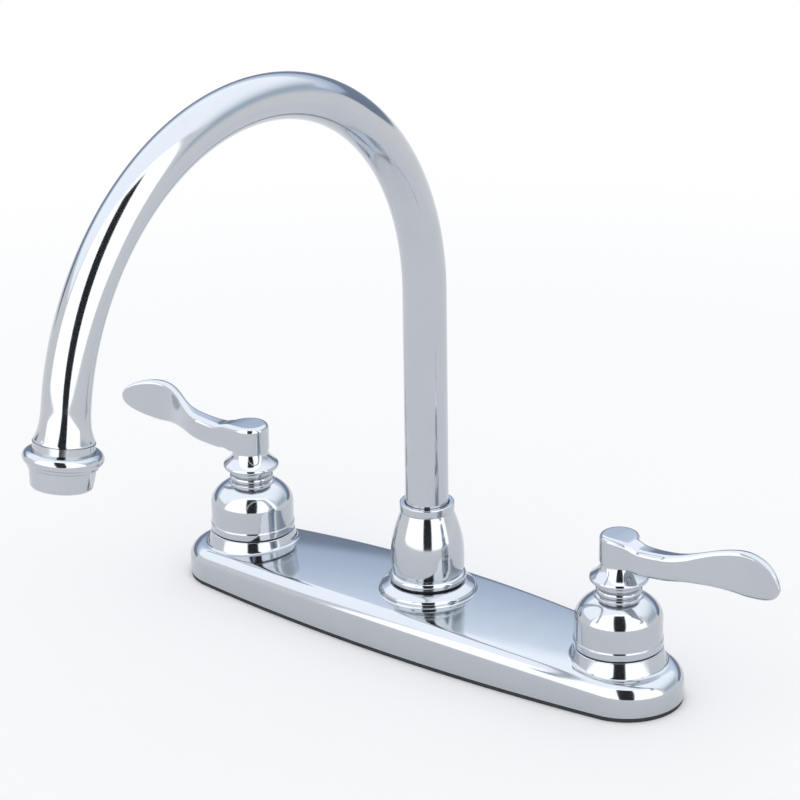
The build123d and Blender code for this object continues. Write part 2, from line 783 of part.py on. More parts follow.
# A tapered sleeve with two flats for a wrench
with BuildPart() as aerator_housing:
    with BuildSketch(outlet_profile):
        sill_radius = housing_bore_radius - housing_sill_width
        with BuildLine():
            Polyline(
                (0, housing_start),
                (outlet_thread_radius, housing_start),
                (outlet_thread_radius, housing_shoulder),
                (housing_radius, housing_shoulder),
                (housing_mouth_radius + edge_break, housing_end - housing_mouth_round),
            )
            Spline(
                (housing_mouth_radius + edge_break, housing_end - housing_mouth_round),
                (housing_mouth_radius - edge_break, housing_end),
                tangents=((-1, 5), (-3, 1)),
            )
            Polyline((housing_mouth_radius - edge_break, housing_end), (0, housing_end), (0, housing_start))
        make_face()
        ring(0, housing_bore_radius, housing_start, insert_end, mode=Mode.SUBTRACT)
        ring(0, sill_radius, housing_start, housing_end, mode=Mode.SUBTRACT)
    revolve(axis=outlet_axis)
    with BuildSketch(outlet_plane(housing_shoulder)):
        with PolarLocations(housing_flat_distance + housing_radius / 2, 2, start_angle=housing_flat_turn):
            Rectangle(housing_radius, 3 * housing_radius)
    extrude(amount=housing_height, mode=Mode.SUBTRACT)
save(aerator_housing, "aerator_housing")

with BuildPart() as aerator_insert:
    with BuildSketch(outlet_plane(insert_start)):
        Circle(housing_bore_radius)
        with HexLocations(hole_pitch / 2, 5, 5):
            Circle(insert_hole_radius, mode=Mode.SUBTRACT)
    extrude(amount=insert_length)
save(aerator_insert, "aerator_insert")

with BuildPart() as aerator_screen:
    with BuildSketch(outlet_plane(insert_start - screen_thickness)):
        Circle(housing_bore_radius)
        with HexLocations(hole_pitch / 2, 5, 5):
            Circle(screen_hole_radius, mode=Mode.SUBTRACT)
    extrude(amount=screen_thickness)
save(aerator_screen, "aerator_screen")
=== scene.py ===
"""Two-handle chrome faucet with a gooseneck spout, dressed and lit in a white studio.

The part's own measures are in millimetres, as in its solids; meshes are in metres.
"""

import json
from math import atan, atan2, cos, hypot, pi, radians, sin, sqrt, tan

import bmesh
import bpy
from mathutils import Matrix, Vector


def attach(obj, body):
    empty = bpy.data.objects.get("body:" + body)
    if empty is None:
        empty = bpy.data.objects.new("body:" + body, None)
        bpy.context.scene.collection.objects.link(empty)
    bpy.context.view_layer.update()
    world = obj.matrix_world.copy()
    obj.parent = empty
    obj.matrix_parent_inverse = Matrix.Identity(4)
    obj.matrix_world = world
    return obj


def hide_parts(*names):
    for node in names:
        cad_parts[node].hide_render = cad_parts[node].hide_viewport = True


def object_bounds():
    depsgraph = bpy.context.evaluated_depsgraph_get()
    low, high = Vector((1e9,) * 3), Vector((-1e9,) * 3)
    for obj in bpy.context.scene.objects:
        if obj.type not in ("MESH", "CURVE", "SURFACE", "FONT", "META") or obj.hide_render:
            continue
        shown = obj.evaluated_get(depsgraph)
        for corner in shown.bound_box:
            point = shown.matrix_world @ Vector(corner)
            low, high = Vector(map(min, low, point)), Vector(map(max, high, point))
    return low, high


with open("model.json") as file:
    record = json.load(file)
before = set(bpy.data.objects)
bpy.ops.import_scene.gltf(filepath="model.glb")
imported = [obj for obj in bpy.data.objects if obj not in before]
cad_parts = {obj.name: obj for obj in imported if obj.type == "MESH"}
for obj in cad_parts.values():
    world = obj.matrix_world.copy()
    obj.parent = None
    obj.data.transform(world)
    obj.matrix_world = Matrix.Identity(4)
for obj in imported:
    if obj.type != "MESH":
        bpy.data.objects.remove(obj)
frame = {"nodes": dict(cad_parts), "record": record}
cad_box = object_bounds()

MM = 0.001

# ---------------------------------------------------------------- the faucet's measures
HANDLE_X = 101.6
FIT = 0.02                    # gap between a bore and what fills it

PLATE_HALF_LENGTH = 131.0
PLATE_END_RADIUS = 24.6
PLATE_HALF_DEPTH = 31.2
PLATE_MIDDLE = -1.3
PLATE_FOOT = 2.0
PLATE_CREST = 20.2
CROWN_LENGTH_RADIUS = 1550.0
CROWN_DEPTH_RADIUS = 400.0
PLATE_ROUND = 6.5
PLATE_WALL = 2.0
HOLE_RADIUS = 13.3
SEAT_SINK = 0.6               # the seats' undersides lie this deep in the plate's skin

HANDLE_SEAT_TOP = 22.6
HANDLE_SEAT_RADIUS = 19.0
HANDLE_SEAT_EDGE = 0.5
HANDLE_FOOT_ROUND = 1.6
SPOUT_FOOT_ROUND = 0.7
HANDLE_FOOT = (21.1, 13.8)    # radius and height, as the next four
SPOUT_SEAT_RIM = (16.9, 24.4)
SPOUT_SEAT_SHOULDER = (20.4, 22.6)
SPOUT_SEAT_WALL = (21.2, 20.95)
SPOUT_FOOT = (21.25, 19.0)

SOCKET_RADIUS = 13.0
BONNET_BOTTOM = 23.2
BONNET_SHOULDER = BONNET_BOTTOM + 22.0
BONNET_TOP = BONNET_SHOULDER + 6.7
BONNET_LIP_HEIGHT, BONNET_SIDE_HEIGHT = 3.4, 12.5
BONNET_LIP_RADIUS, BONNET_SIDE_RADIUS, BONNET_SHOULDER_RADIUS = 19.05, 18.7, 10.4
BEAD_ROOT, BEAD_CREST, GROOVE_RADIUS, COLLAR_RADIUS = 9.0, 9.9, 8.5, 9.5
NECK_BORE, CHAMBER_RADIUS = 7.6, 11.0
CHAMBER_FOOT, CHAMBER_TOP = 34.42, 42.6

SKIRT_BOTTOM = BONNET_TOP + 0.4
SKIRT_TOP = SKIRT_BOTTOM + 9.0
SKIRT_FOOT_RADIUS, SKIRT_TOP_RADIUS = 10.6, 7.8
SKIRT_RIM = ((12.6, SKIRT_BOTTOM + 1.1), (12.1, SKIRT_BOTTOM + 2.3))
SKIRT_HOLLOW_RADIUS, SKIRT_HOLLOW_HEIGHT = 6.4, 4.0
STEM_RADIUS = 4.0

HUB_RADIUS = 8.5
HUB_TOP = SKIRT_TOP + 12.0
HUB_ROUND = 2.2
HUB_ROOF = 3.6
LEVER_REACH = 78.19
TIP_START = 57.4

NUT_BOTTOM = 25.0
NUT_TOP = NUT_BOTTOM + 36.6
NUT_BEAD_HEIGHT, NUT_BELLY_HEIGHT, NUT_LIP_HEIGHT = 4.0, 13.5, 3.9
NUT_FOOT_RADIUS, NUT_BEAD_RADIUS, NUT_BELLY_RADIUS = 15.4, 17.0, 16.0
NUT_SHOULDER_RADIUS, NUT_GROOVE_RADIUS, NUT_LIP_RADIUS = 11.7, 11.45, 11.95
NUT_HOLE_RADIUS = 9.7
NUT_CHAMBER_TOP = 52.2

TUBE_RADIUS = 9.41
TUBE_BORE = 8.45
TUBE_START = 43.1
ARCH_START = 158.0
ARCH_RADIUS = 107.8
ARCH_TURN = radians(171.3)
FLARE_LENGTH = 13.5
FLARE_RADIUS = 11.65
LEG_LENGTH = 0.6

LEG = Vector((0, -sin(ARCH_TURN), cos(ARCH_TURN)))
ARCH_END = Vector((0, -ARCH_RADIUS * (1 - cos(ARCH_TURN)), ARCH_START + ARCH_RADIUS * sin(ARCH_TURN)))
FLARE_RIM = ARCH_END + LEG * (LEG_LENGTH + FLARE_LENGTH)
OUTLET_LENGTH = 9.5
HOUSING_SHOULDER = OUTLET_LENGTH + 0.3
HOUSING_END = HOUSING_SHOULDER + 8.0

CREASE = radians(32)          # edges that bend more than this stay sharp
ROUND_SIDES = 224             # sides of the turned pieces
HOLE_SIDES = 96
TUBE_SIDES = 112
FLOOR_SIDES = 96
BORDER_STEPS = 170            # points in each of the plate's two ends and two sides


def eased(start, end, place):
    """0 before start, 1 after end, and a smooth rise between them."""
    share = min(max((place - start) / (end - start), 0), 1)
    return share * share * (3 - 2 * share)


# ---------------------------------------------------------------- camera
AIM_HEIGHT = 150 * MM         # above the deck, before the aim is moved aside and up


def place_camera(azimuth, elevation, roll, distance, aim, lens, shift):
    """A camera that looks at a point from an angle round the faucet, slightly rolled."""
    turn, rise, tilt = radians(azimuth), radians(elevation), radians(roll)
    back = Vector((sin(turn) * cos(rise), -cos(turn) * cos(rise), sin(rise)))
    level = Vector((cos(turn), sin(turn), 0))
    upright = back.cross(level)
    right = level * cos(tilt) + upright * sin(tilt)
    up = upright * cos(tilt) - level * sin(tilt)
    place = Vector((0, 0, AIM_HEIGHT)) + right * aim[0] + up * aim[1] + back * distance
    camera = bpy.data.objects.new("camera", bpy.data.cameras.new("camera"))
    camera.data.lens = lens
    camera.data.sensor_width = 36
    camera.data.shift_x, camera.data.shift_y = shift
    camera.data.clip_end = 50
    camera.matrix_world = Matrix.Translation(place) @ Matrix((right, up, back)).transposed().to_4x4()
    bpy.context.scene.collection.objects.link(camera)
    bpy.context.scene.camera = camera


place_camera(
    azimuth=38.679,
    elevation=21.350,
    roll=-0.731,
    distance=1341.57 * MM,
    aim=(-2.72 * MM, -34.99 * MM),
    lens=142.66,
    shift=(-0.02288, -0.01084),
)


# ---------------------------------------------------------------- small node helpers
def tone(red, green, blue):
    """A colour given as it shows on a screen, 0 to 255, as scene-linear values."""
    return tuple(
        c / 255 / 12.92 if c / 255 <= 0.04045 else ((c / 255 + 0.055) / 1.055) ** 2.4
        for c in (red, green, blue)
    )


class Web:
    """A node tree with short ways to add the few kinds of node used here."""

    def __init__(self, tree):
        self.nodes, self.links = tree.nodes, tree.links

    def feed(self, socket, value):
        """Link an output to a socket, or write a plain value on it."""
        if isinstance(value, bpy.types.NodeSocket):
            self.links.new(value, socket)
        elif isinstance(value, tuple) and len(value) == 3 and socket.type == "RGBA":
            socket.default_value = (*value, 1)
        else:
            socket.default_value = value

    def add(self, kind, inputs=(), **settings):
        """A node with its settings, and values or links for its named inputs."""
        node = self.nodes.new(kind)
        for name, value in settings.items():
            setattr(node, name, value)
        for name, value in dict(inputs).items():
            self.feed(node.inputs[name], value)
        return node

    def math(self, operation, first, second=None):
        """One sum on one or two values or links."""
        node = self.nodes.new("ShaderNodeMath")
        node.operation = operation
        self.feed(node.inputs[0], first)
        if second is not None:
            self.feed(node.inputs[1], second)
        return node.outputs[0]

    def step(self, value, start, end):
        """0 at start, 1 at end, smooth between."""
        node = self.nodes.new("ShaderNodeMapRange")
        node.interpolation_type = "SMOOTHSTEP"
        self.feed(node.inputs["Value"], value)
        node.inputs["From Min"].default_value = start
        node.inputs["From Max"].default_value = end
        return node.outputs[0]

    def mix(self, share, first, second):
        """The first colour at share 0, the second at share 1."""
        node = self.nodes.new("ShaderNodeMix")
        node.data_type = "RGBA"
        self.feed(node.inputs["Factor"], share)
        self.feed(node.inputs[6], first)
        self.feed(node.inputs[7], second)
        return node.outputs[2]


# ---------------------------------------------------------------- studio
ROOM_AZIMUTH = 38.7           # degrees; the lights stand square to the camera's side
ROOM_DEPTH = 8.0              # metres from the faucet to the lights and to the card behind it
GAP_HALF = 12.5               # degrees to each side, where the dark gap between the lights ends
GAP_HEAD = 24.0               # metres
GAP_SPREAD = 2.5              # the gap's width at its head over its width at its foot
GAP_STAND = 0.05              # metres in front of the lights
LEFT_REACH = 79.0             # degrees to each side, where the lights end
RIGHT_REACH = 72.0
LAMP_FOOT = -0.158            # slopes of the lights' lower and upper edges as seen from the faucet
LAMP_HEAD = 5.0
CEILING_HEIGHT = 6.0          # metres, as all below
CEILING_BACK = -9.2
CEILING_FRONT = 1.2
CEILING_HALF_WIDTH = 15.0
CEILING_FADE = (3.0, 15.0)    # how far across it starts and stops dimming
CARD_HALF_WIDTH = 14.0
DARK_CARD_TOP = 2.85
DARK_CARD_FADE = 0.93 * DARK_CARD_TOP
BLUE_CARD_TOP = 5.25
SIDE_REACH = 14.0
SIDE_FRONT = 3.0
SIDE_FADE = (0.3, 0.75 * CEILING_HEIGHT)
FLOOR_RADIUS = 0.8
FLOOR_FADE = (0.5 * FLOOR_RADIUS, 0.9 * FLOOR_RADIUS)

WHITE = (1.0, 1.0, 1.0)
WORLD_FILL = (0.97, 0.98, 1.0)
FLOOR_SHADE = (0.97, 0.97, 0.975)
LAMP_GLOW = (2.0, 2.0, 2.0)
GAP_GLOW = (0.008, 0.010, 0.012)
CEILING_GLOW = (1.55, 1.60, 1.66)
CARD_DARK = (0.27, 0.32, 0.42)
CARD_BLUE = (0.64, 0.75, 0.93)
CARD_PALE = (1.05, 1.15, 1.32)
CARD_SIDE = (0.62, 0.71, 0.80)


def room_point(ahead, across, height):
    """A place in the studio, in metres: ahead towards the camera's side, across to its right."""
    turn = radians(ROOM_AZIMUTH)
    front, right = Vector((sin(turn), -cos(turn), 0)), Vector((cos(turn), sin(turn), 0))
    return front * ahead + right * across + Vector((0, 0, height))


def glow(name, low, high, start=0.0, end=1.0, along=(0, 0, 1)):
    """A light whose colour turns from low to high along a direction, between two distances in metres."""
    made = bpy.data.materials.new(name)
    made.use_nodes = True
    web = Web(made.node_tree)
    web.nodes.clear()
    place = web.add("ShaderNodeTexCoord").outputs["Object"]
    dot = web.add("ShaderNodeVectorMath", {0: place, 1: tuple(along)}, operation="DOT_PRODUCT")
    reach = dot.outputs["Value"]
    light = web.add("ShaderNodeEmission", {"Color": web.mix(web.step(reach, start, end), low, high)})
    output = web.add("ShaderNodeOutputMaterial")
    web.links.new(light.outputs[0], output.inputs["Surface"])
    return made


def hang_card(name, corners, finish):
    """A flat lamp or card of the studio, which only the metal reflects."""
    mesh = bpy.data.meshes.new(name)
    mesh.from_pydata([room_point(*corner) for corner in corners], [], [(0, 1, 2, 3)])
    mesh.materials.append(finish)
    card = bpy.data.objects.new(name, mesh)
    card.visible_camera = False
    card.visible_diffuse = False
    card.visible_shadow = False
    bpy.context.scene.collection.objects.link(card)


def upright_card(name, ahead, left, right, foot, head, finish):
    """A standing card that faces the faucet from the front or from behind."""
    corners = [(ahead, left, foot), (ahead, right, foot), (ahead, right, head), (ahead, left, head)]
    hang_card(name, corners, finish)


def build_studio():
    """Two tall soft lights with a dark gap, a ceiling that dims to the right, and blue-grey cards."""
    foot, head = LAMP_FOOT * ROOM_DEPTH, LAMP_HEAD * ROOM_DEPTH
    inner = ROOM_DEPTH * tan(radians(GAP_HALF))
    left = -ROOM_DEPTH * tan(radians(LEFT_REACH))
    right = ROOM_DEPTH * tan(radians(RIGHT_REACH))
    lamp = glow("lamp_cloth", LAMP_GLOW, LAMP_GLOW)
    upright_card("left_lamp", ROOM_DEPTH, left, 0, foot, head, lamp)
    upright_card("right_lamp", ROOM_DEPTH, 0, right, foot, head, lamp)
    dark = glow("dark_gap", GAP_GLOW, GAP_GLOW)
    before, wide = ROOM_DEPTH - GAP_STAND, GAP_SPREAD * inner
    hang_card("dark_gap", [(before, -inner, foot), (before, inner, foot),
                           (before, wide, GAP_HEAD), (before, -wide, GAP_HEAD)], dark)
    reach = CARD_HALF_WIDTH
    low = glow("dark_card", CARD_DARK, CARD_BLUE, DARK_CARD_FADE, DARK_CARD_TOP)
    high = glow("blue_card", CARD_BLUE, CARD_PALE, DARK_CARD_TOP, BLUE_CARD_TOP)
    upright_card("dark_card", -ROOM_DEPTH, -reach, reach, 0, DARK_CARD_TOP, low)
    upright_card("blue_card", -ROOM_DEPTH, -reach, reach, DARK_CARD_TOP, BLUE_CARD_TOP, high)
    back, front, level = CEILING_BACK, CEILING_FRONT, CEILING_HEIGHT
    reach = CEILING_HALF_WIDTH
    across = room_point(0, 1, 0)
    hang_card("ceiling", [(back, -reach, level), (back, reach, level),
                          (front, reach, level), (front, -reach, level)],
              glow("ceiling_cloth", CEILING_GLOW, CARD_SIDE, *CEILING_FADE, across))
    hang_card("side_card", [(back, SIDE_REACH, 0), (SIDE_FRONT, SIDE_REACH, 0),
                            (SIDE_FRONT, SIDE_REACH, level), (back, SIDE_REACH, level)],
              glow("side_card", WHITE, CARD_SIDE, *SIDE_FADE))


def build_background():
    """A white background, the same for the camera, for metal and for glass."""
    scene = bpy.context.scene
    scene.view_settings.view_transform = "Standard"
    world = bpy.data.worlds.new("background")
    scene.world = world
    world.use_nodes = True
    web = Web(world.node_tree)
    web.nodes.clear()
    rays = web.add("ShaderNodeLightPath").outputs
    seen = web.math("MAXIMUM", rays["Is Camera Ray"], rays["Is Glossy Ray"])
    seen = web.math("MAXIMUM", seen, rays["Is Transmission Ray"])
    background = web.add("ShaderNodeBackground", {"Color": web.mix(seen, WORLD_FILL, WHITE)})
    output = web.add("ShaderNodeOutputWorld")
    web.links.new(background.outputs[0], output.inputs[0])


def lay_floor():
    """A round pale floor that takes the faucet's shadow and fades into the white round it."""
    made = bpy.data.materials.new("pale_floor")
    made.use_nodes = True
    web = Web(made.node_tree)
    web.nodes.clear()
    place = web.add("ShaderNodeTexCoord").outputs["Object"]
    reach = web.add("ShaderNodeVectorMath", {0: place}, operation="LENGTH").outputs["Value"]
    speckle = web.add("ShaderNodeTexNoise", {"Vector": place, "Scale": 900.0}).outputs[0]
    cloth = web.add("ShaderNodeBsdfDiffuse", {"Color": web.mix(speckle, FLOOR_SHADE, WHITE)})
    white = web.add("ShaderNodeEmission", {"Color": WHITE})
    blend = web.add("ShaderNodeMixShader", {"Fac": web.step(reach, *FLOOR_FADE)})
    web.links.new(cloth.outputs[0], blend.inputs[1])
    web.links.new(white.outputs[0], blend.inputs[2])
    output = web.add("ShaderNodeOutputMaterial")
    web.links.new(blend.outputs[0], output.inputs["Surface"])
    angles = [2 * pi * i / FLOOR_SIDES for i in range(FLOOR_SIDES)]
    rim = [(FLOOR_RADIUS * cos(angle), FLOOR_RADIUS * sin(angle), cad_box[0].z) for angle in angles]
    mesh = bpy.data.meshes.new("floor")
    mesh.from_pydata(rim, [], [tuple(range(FLOOR_SIDES))])
    mesh.materials.append(made)
    floor = bpy.data.objects.new("floor", mesh)
    bpy.context.scene.collection.objects.link(floor)


build_studio()
build_background()
lay_floor()


# ---------------------------------------------------------------- materials
def material(name):
    """A new material's node web, its surface shader and its noise coordinates on the object."""
    made = bpy.data.materials.new(name)
    made.use_nodes = True
    web = Web(made.node_tree)
    surface = web.nodes["Principled BSDF"]
    place = web.add("ShaderNodeTexCoord").outputs["Object"]
    return made, web, surface, place


def noise(web, place, size, detail=2.0):
    """Noise whose blotches are about size millimetres wide."""
    made = web.add("ShaderNodeTexNoise", {"Vector": place, "Scale": 1 / (size * MM), "Detail": detail})
    return made.outputs[0]


def relief(web, surface, pattern, depth):
    """Press a pattern into a surface, depth in millimetres."""
    bump = web.add("ShaderNodeBump", {"Height": pattern, "Strength": 1.0, "Distance": depth * MM})
    web.links.new(bump.outputs[0], surface.inputs["Normal"])


def polished_chrome():
    """Bright plating with faint smears and the slight unevenness of buffed castings."""
    made, web, surface, place = material("polished_chrome")
    smear = noise(web, place, 14, 4)
    buffing = noise(web, place, 28, 1)
    surface.inputs["Metallic"].default_value = 1
    web.feed(surface.inputs["Base Color"], web.mix(smear, (0.49, 0.52, 0.56), (0.53, 0.555, 0.59)))
    web.feed(surface.inputs["Roughness"], web.math("ADD", web.math("MULTIPLY", smear, 0.03), 0.085))
    relief(web, surface, buffing, 0.006)
    return made


def black_rubber(name, shade, grain):
    """Moulded rubber with a fine grain and slightly worn, paler patches."""
    made, web, surface, place = material(name)
    worn = noise(web, place, 6, 3)
    web.feed(surface.inputs["Base Color"], web.mix(worn, shade, tuple(3 * c for c in shade)))
    web.feed(surface.inputs["Roughness"], web.math("ADD", web.math("MULTIPLY", worn, 0.25), 0.5))
    relief(web, surface, noise(web, place, grain, 2), 0.03)
    return made


def cast_brass():
    """Raw brass, dull and blotched where it isn't machined."""
    made, web, surface, place = material("cast_brass")
    blotch = noise(web, place, 9, 5)
    surface.inputs["Metallic"].default_value = 1
    web.feed(surface.inputs["Base Color"], web.mix(blotch, tone(188, 150, 86), tone(214, 180, 112)))
    web.feed(surface.inputs["Roughness"], web.math("ADD", web.math("MULTIPLY", blotch, 0.3), 0.22))
    relief(web, surface, noise(web, place, 1.2, 3), 0.02)
    return made


def moulded_plastic(name, shade, roughness):
    """Smooth moulded plastic or ceramic with a faint mottle."""
    made, web, surface, place = material(name)
    mottle = noise(web, place, 5, 3)
    web.feed(surface.inputs["Base Color"], web.mix(mottle, shade, tuple(0.9 * c for c in shade)))
    web.feed(surface.inputs["Roughness"], web.math("ADD", web.math("MULTIPLY", mottle, 0.1), roughness))
    relief(web, surface, noise(web, place, 2, 2), 0.01)
    return made


def drawn_steel():
    """Stainless steel with fine drawing lines along its height."""
    made, web, surface, place = material("drawn_steel")
    stretched = web.add("ShaderNodeMapping", {"Vector": place, "Scale": (1.0, 1.0, 0.08)}).outputs[0]
    lines = noise(web, stretched, 0.6, 4)
    surface.inputs["Metallic"].default_value = 1
    web.feed(surface.inputs["Base Color"], web.mix(lines, tone(176, 178, 182), tone(206, 208, 212)))
    web.feed(surface.inputs["Roughness"], web.math("ADD", web.math("MULTIPLY", lines, 0.15), 0.2))
    relief(web, surface, lines, 0.01)
    return made


CHROME = polished_chrome()
FINISHES = {
    "chrome": CHROME,
    "brass": cast_brass(),
    "gasket_rubber": black_rubber("gasket_rubber", (0.008, 0.009, 0.010), 1.0),
    "seal_rubber": black_rubber("seal_rubber", (0.006, 0.006, 0.007), 0.6),
    "ceramic": moulded_plastic("disc_ceramic", tone(236, 232, 222), 0.12),
    "white_plastic": moulded_plastic("white_plastic", tone(226, 228, 226), 0.35),
    "steel": drawn_steel(),
}
slots = {part["node"]: part["material_slot"] for part in frame["record"]["subparts"]}
for name, node in frame["nodes"].items():
    node.data.materials.clear()
    node.data.materials.append(FINISHES[slots[name]])


# ---------------------------------------------------------------- making meshes
def add_piece(name, points, faces):
    """A chrome mesh from points in millimetres, smooth but for its sharp edges."""
    mesh = bpy.data.meshes.new(name)
    mesh.from_pydata([Vector(p) * MM for p in points], [], faces)
    shaped = bmesh.new()
    shaped.from_mesh(mesh)
    bmesh.ops.remove_doubles(shaped, verts=shaped.verts, dist=0.002 * MM)
    bmesh.ops.dissolve_degenerate(shaped, edges=shaped.edges, dist=0.001 * MM)
    bmesh.ops.recalc_face_normals(shaped, faces=shaped.faces)
    shaped.to_mesh(mesh)
    shaped.free()
    mesh.shade_smooth()
    mesh.set_sharp_from_angle(angle=CREASE)
    mesh.materials.append(CHROME)
    piece = bpy.data.objects.new(name, mesh)
    bpy.context.scene.collection.objects.link(piece)
    return piece


def grid_faces(rows, columns, closed_rows=False):
    """Faces of a grid of points stored row by row, each row a ring."""
    faces = []
    for row in range(rows if closed_rows else rows - 1):
        following = (row + 1) % rows
        for column in range(columns):
            beside = (column + 1) % columns
            faces.append((row * columns + column, row * columns + beside,
                          following * columns + beside, following * columns + column))
    return faces


def settle(piece):
    """Turn a piece with its modifiers into a plain mesh."""
    graph = bpy.context.evaluated_depsgraph_get()
    plain = bpy.data.meshes.new_from_object(piece.evaluated_get(graph))
    piece.modifiers.clear()
    piece.data = plain


def bore(piece, holes):
    """Cut round holes, each given by its two ends and its radius in millimetres."""
    around = HOLE_SIDES
    angles = [2 * pi * i / around for i in range(around)]
    cutters = []
    for index, (start, end, radius) in enumerate(holes):
        start, end = Vector(start), Vector(end)
        facing = (end - start).to_track_quat("Z", "Y")
        rim = [facing @ Vector((radius * cos(angle), radius * sin(angle), 0)) for angle in angles]
        points = [middle + point for middle in (start, end) for point in rim]
        ends = [tuple(range(around)), tuple(range(around, 2 * around))]
        cutter = add_piece(f"{piece.name}_hole_{index}", points, grid_faces(2, around) + ends)
        cut = piece.modifiers.new(f"hole_{index}", "BOOLEAN")
        cut.operation, cut.solver, cut.object = "DIFFERENCE", "EXACT", cutter
        cutters.append(cutter)
    settle(piece)
    piece.data.set_sharp_from_angle(angle=CREASE)
    for cutter in cutters:
        bpy.data.objects.remove(cutter)


def place_on(piece, body, *nodes):
    """The piece stands for CAD nodes and moves with a body."""
    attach(piece, body)
    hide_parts(*nodes)


def curve(start, end, leave, arrive, steps=24):
    """Points of a smooth curve from start to end that leaves and arrives along given directions."""
    (x0, y0), (x1, y1) = start, end
    length = hypot(x1 - x0, y1 - y0)
    a, b = (Vector(leave).normalized() * length, Vector(arrive).normalized() * length)
    points = []
    for index in range(1, steps + 1):
        t = index / steps
        h = (2 * t**3 - 3 * t**2 + 1, t**3 - 2 * t**2 + t, -2 * t**3 + 3 * t**2, t**3 - t**2)
        points.append((h[0] * x0 + h[1] * a.x + h[2] * x1 + h[3] * b.x,
                       h[0] * y0 + h[1] * a.y + h[2] * y1 + h[3] * b.y))
    return points


def bulge(start, middle, end, steps=20):
    """Points of a round arc from start through middle to end."""
    (ax, ay), (bx, by), (cx, cy) = start, middle, end
    d = 2 * (ax * (by - cy) + bx * (cy - ay) + cx * (ay - by))
    ox = ((ax**2 + ay**2) * (by - cy) + (bx**2 + by**2) * (cy - ay) + (cx**2 + cy**2) * (ay - by)) / d
    oy = ((ax**2 + ay**2) * (cx - bx) + (bx**2 + by**2) * (ax - cx) + (cx**2 + cy**2) * (bx - ax)) / d
    radius = hypot(ax - ox, ay - oy)
    first, through, last = (atan2(y - oy, x - ox) for x, y in (start, middle, end))
    sweep = (last - first) % (2 * pi)
    if (through - first) % (2 * pi) > sweep:
        sweep -= 2 * pi
    return [(ox + radius * cos(first + sweep * i / steps), oy + radius * sin(first + sweep * i / steps))
            for i in range(1, steps + 1)]


def softened(corner, before, after, radius, steps=5):
    """A corner of an outline turned into a small round."""
    corner, before, after = Vector(corner), Vector(before), Vector(after)
    back, on = (before - corner).normalized(), (after - corner).normalized()
    points = []
    for index in range(steps + 1):
        t = index / steps
        points.append(tuple(corner + back * radius * (1 - t) ** 2 + on * radius * t**2))
    return points


def outline(*parts):
    """Join corners and runs of points; a corner (x, y, round) is softened by that round."""
    flat = []
    for part in parts:
        flat.extend(part if isinstance(part, list) else [part])
    points = []
    count = len(flat)
    for index, point in enumerate(flat):
        if len(point) == 3 and point[2] > 0:
            before, after = flat[index - 1][:2], flat[(index + 1) % count][:2]
            points.extend(softened(point[:2], before, after, point[2]))
        else:
            points.append(tuple(point[:2]))
    return points


def turned(name, section, x):
    """A mesh turned about an upright axis at x from a closed section of (radius, height) points."""
    shift = Matrix.Translation((x, 0, 0))
    points = []
    for radius, height in section:
        for index in range(ROUND_SIDES):
            angle = 2 * pi * index / ROUND_SIDES
            points.append(shift @ Vector((radius * cos(angle), radius * sin(angle), height)))
    return add_piece(name, points, grid_faces(len(section), ROUND_SIDES, closed_rows=True))


# ---------------------------------------------------------------- deck plate
def crown_height(x, y):
    """Height of the plate's crowned top at a place."""
    sag = CROWN_DEPTH_RADIUS - sqrt(CROWN_DEPTH_RADIUS**2 - (y - PLATE_MIDDLE) ** 2)
    low = PLATE_CREST - CROWN_LENGTH_RADIUS
    return low + sqrt((CROWN_LENGTH_RADIUS - sag) ** 2 - x * x)


def plate_border(steps):
    """Points of the plate's border with the directions that face outwards: bowed sides, round ends."""
    end_x = PLATE_HALF_LENGTH - PLATE_END_RADIUS
    bow = PLATE_HALF_DEPTH - PLATE_END_RADIUS
    side_radius = (end_x**2 / bow + PLATE_HALF_DEPTH + PLATE_END_RADIUS) / 2
    turn = atan2(end_x, side_radius - PLATE_HALF_DEPTH)
    border = []
    for quarter in range(4):
        for index in range(steps):
            t = index / steps
            if quarter % 2 == 0:
                angle = -pi / 2 + turn + (pi - 2 * turn) * t
                centre, radius = (end_x, 0), PLATE_END_RADIUS
            else:
                angle = pi / 2 - turn + 2 * turn * t
                centre, radius = (0, PLATE_HALF_DEPTH - side_radius), side_radius
            sign = 1 if quarter < 2 else -1
            facing = Vector((cos(angle), sin(angle))) * sign
            spot = Vector(centre) * sign + facing * radius
            border.append((spot.x, spot.y + PLATE_MIDDLE, facing))
    return border


def plate_skin(inset, edge_steps, crown_steps):
    """Rows of points up the plate's wall, over its rounded edge and across its crown, set in by an inset."""
    border = plate_border(BORDER_STEPS)
    turn_radius = PLATE_ROUND - inset
    rows = [[(*(Vector((x, y)) - facing * inset), PLATE_FOOT) for x, y, facing in border]]
    rims = []
    for x, y, facing in border:
        inner = Vector((x, y)) - facing * PLATE_ROUND
        reach = 0.05
        inward, outward = (crown_height(*(inner + facing * step)) for step in (-reach, reach))
        fall = (inward - outward) / (2 * reach)
        centre = crown_height(*inner) - inset - turn_radius * sqrt(1 + fall * fall)
        rims.append((inner, facing, centre, pi / 2 - atan(fall)))
    for index in range(edge_steps + 1):
        rows.append([
            (*(inner + facing * turn_radius * cos(last * index / edge_steps)),
             centre + turn_radius * sin(last * index / edge_steps))
            for inner, facing, centre, last in rims
        ])
    edge = rows[-1]
    # The crown's rings close on a line along the plate's middle.
    for index in range(1, crown_steps + 1):
        share = index / crown_steps
        ring = []
        for x, y, _ in edge:
            px, py = x * (1 - 0.2 * share), PLATE_MIDDLE + (y - PLATE_MIDDLE) * (1 - share)
            ring.append((px, py, crown_height(px, py) - inset))
        rows.append(ring)
    return rows


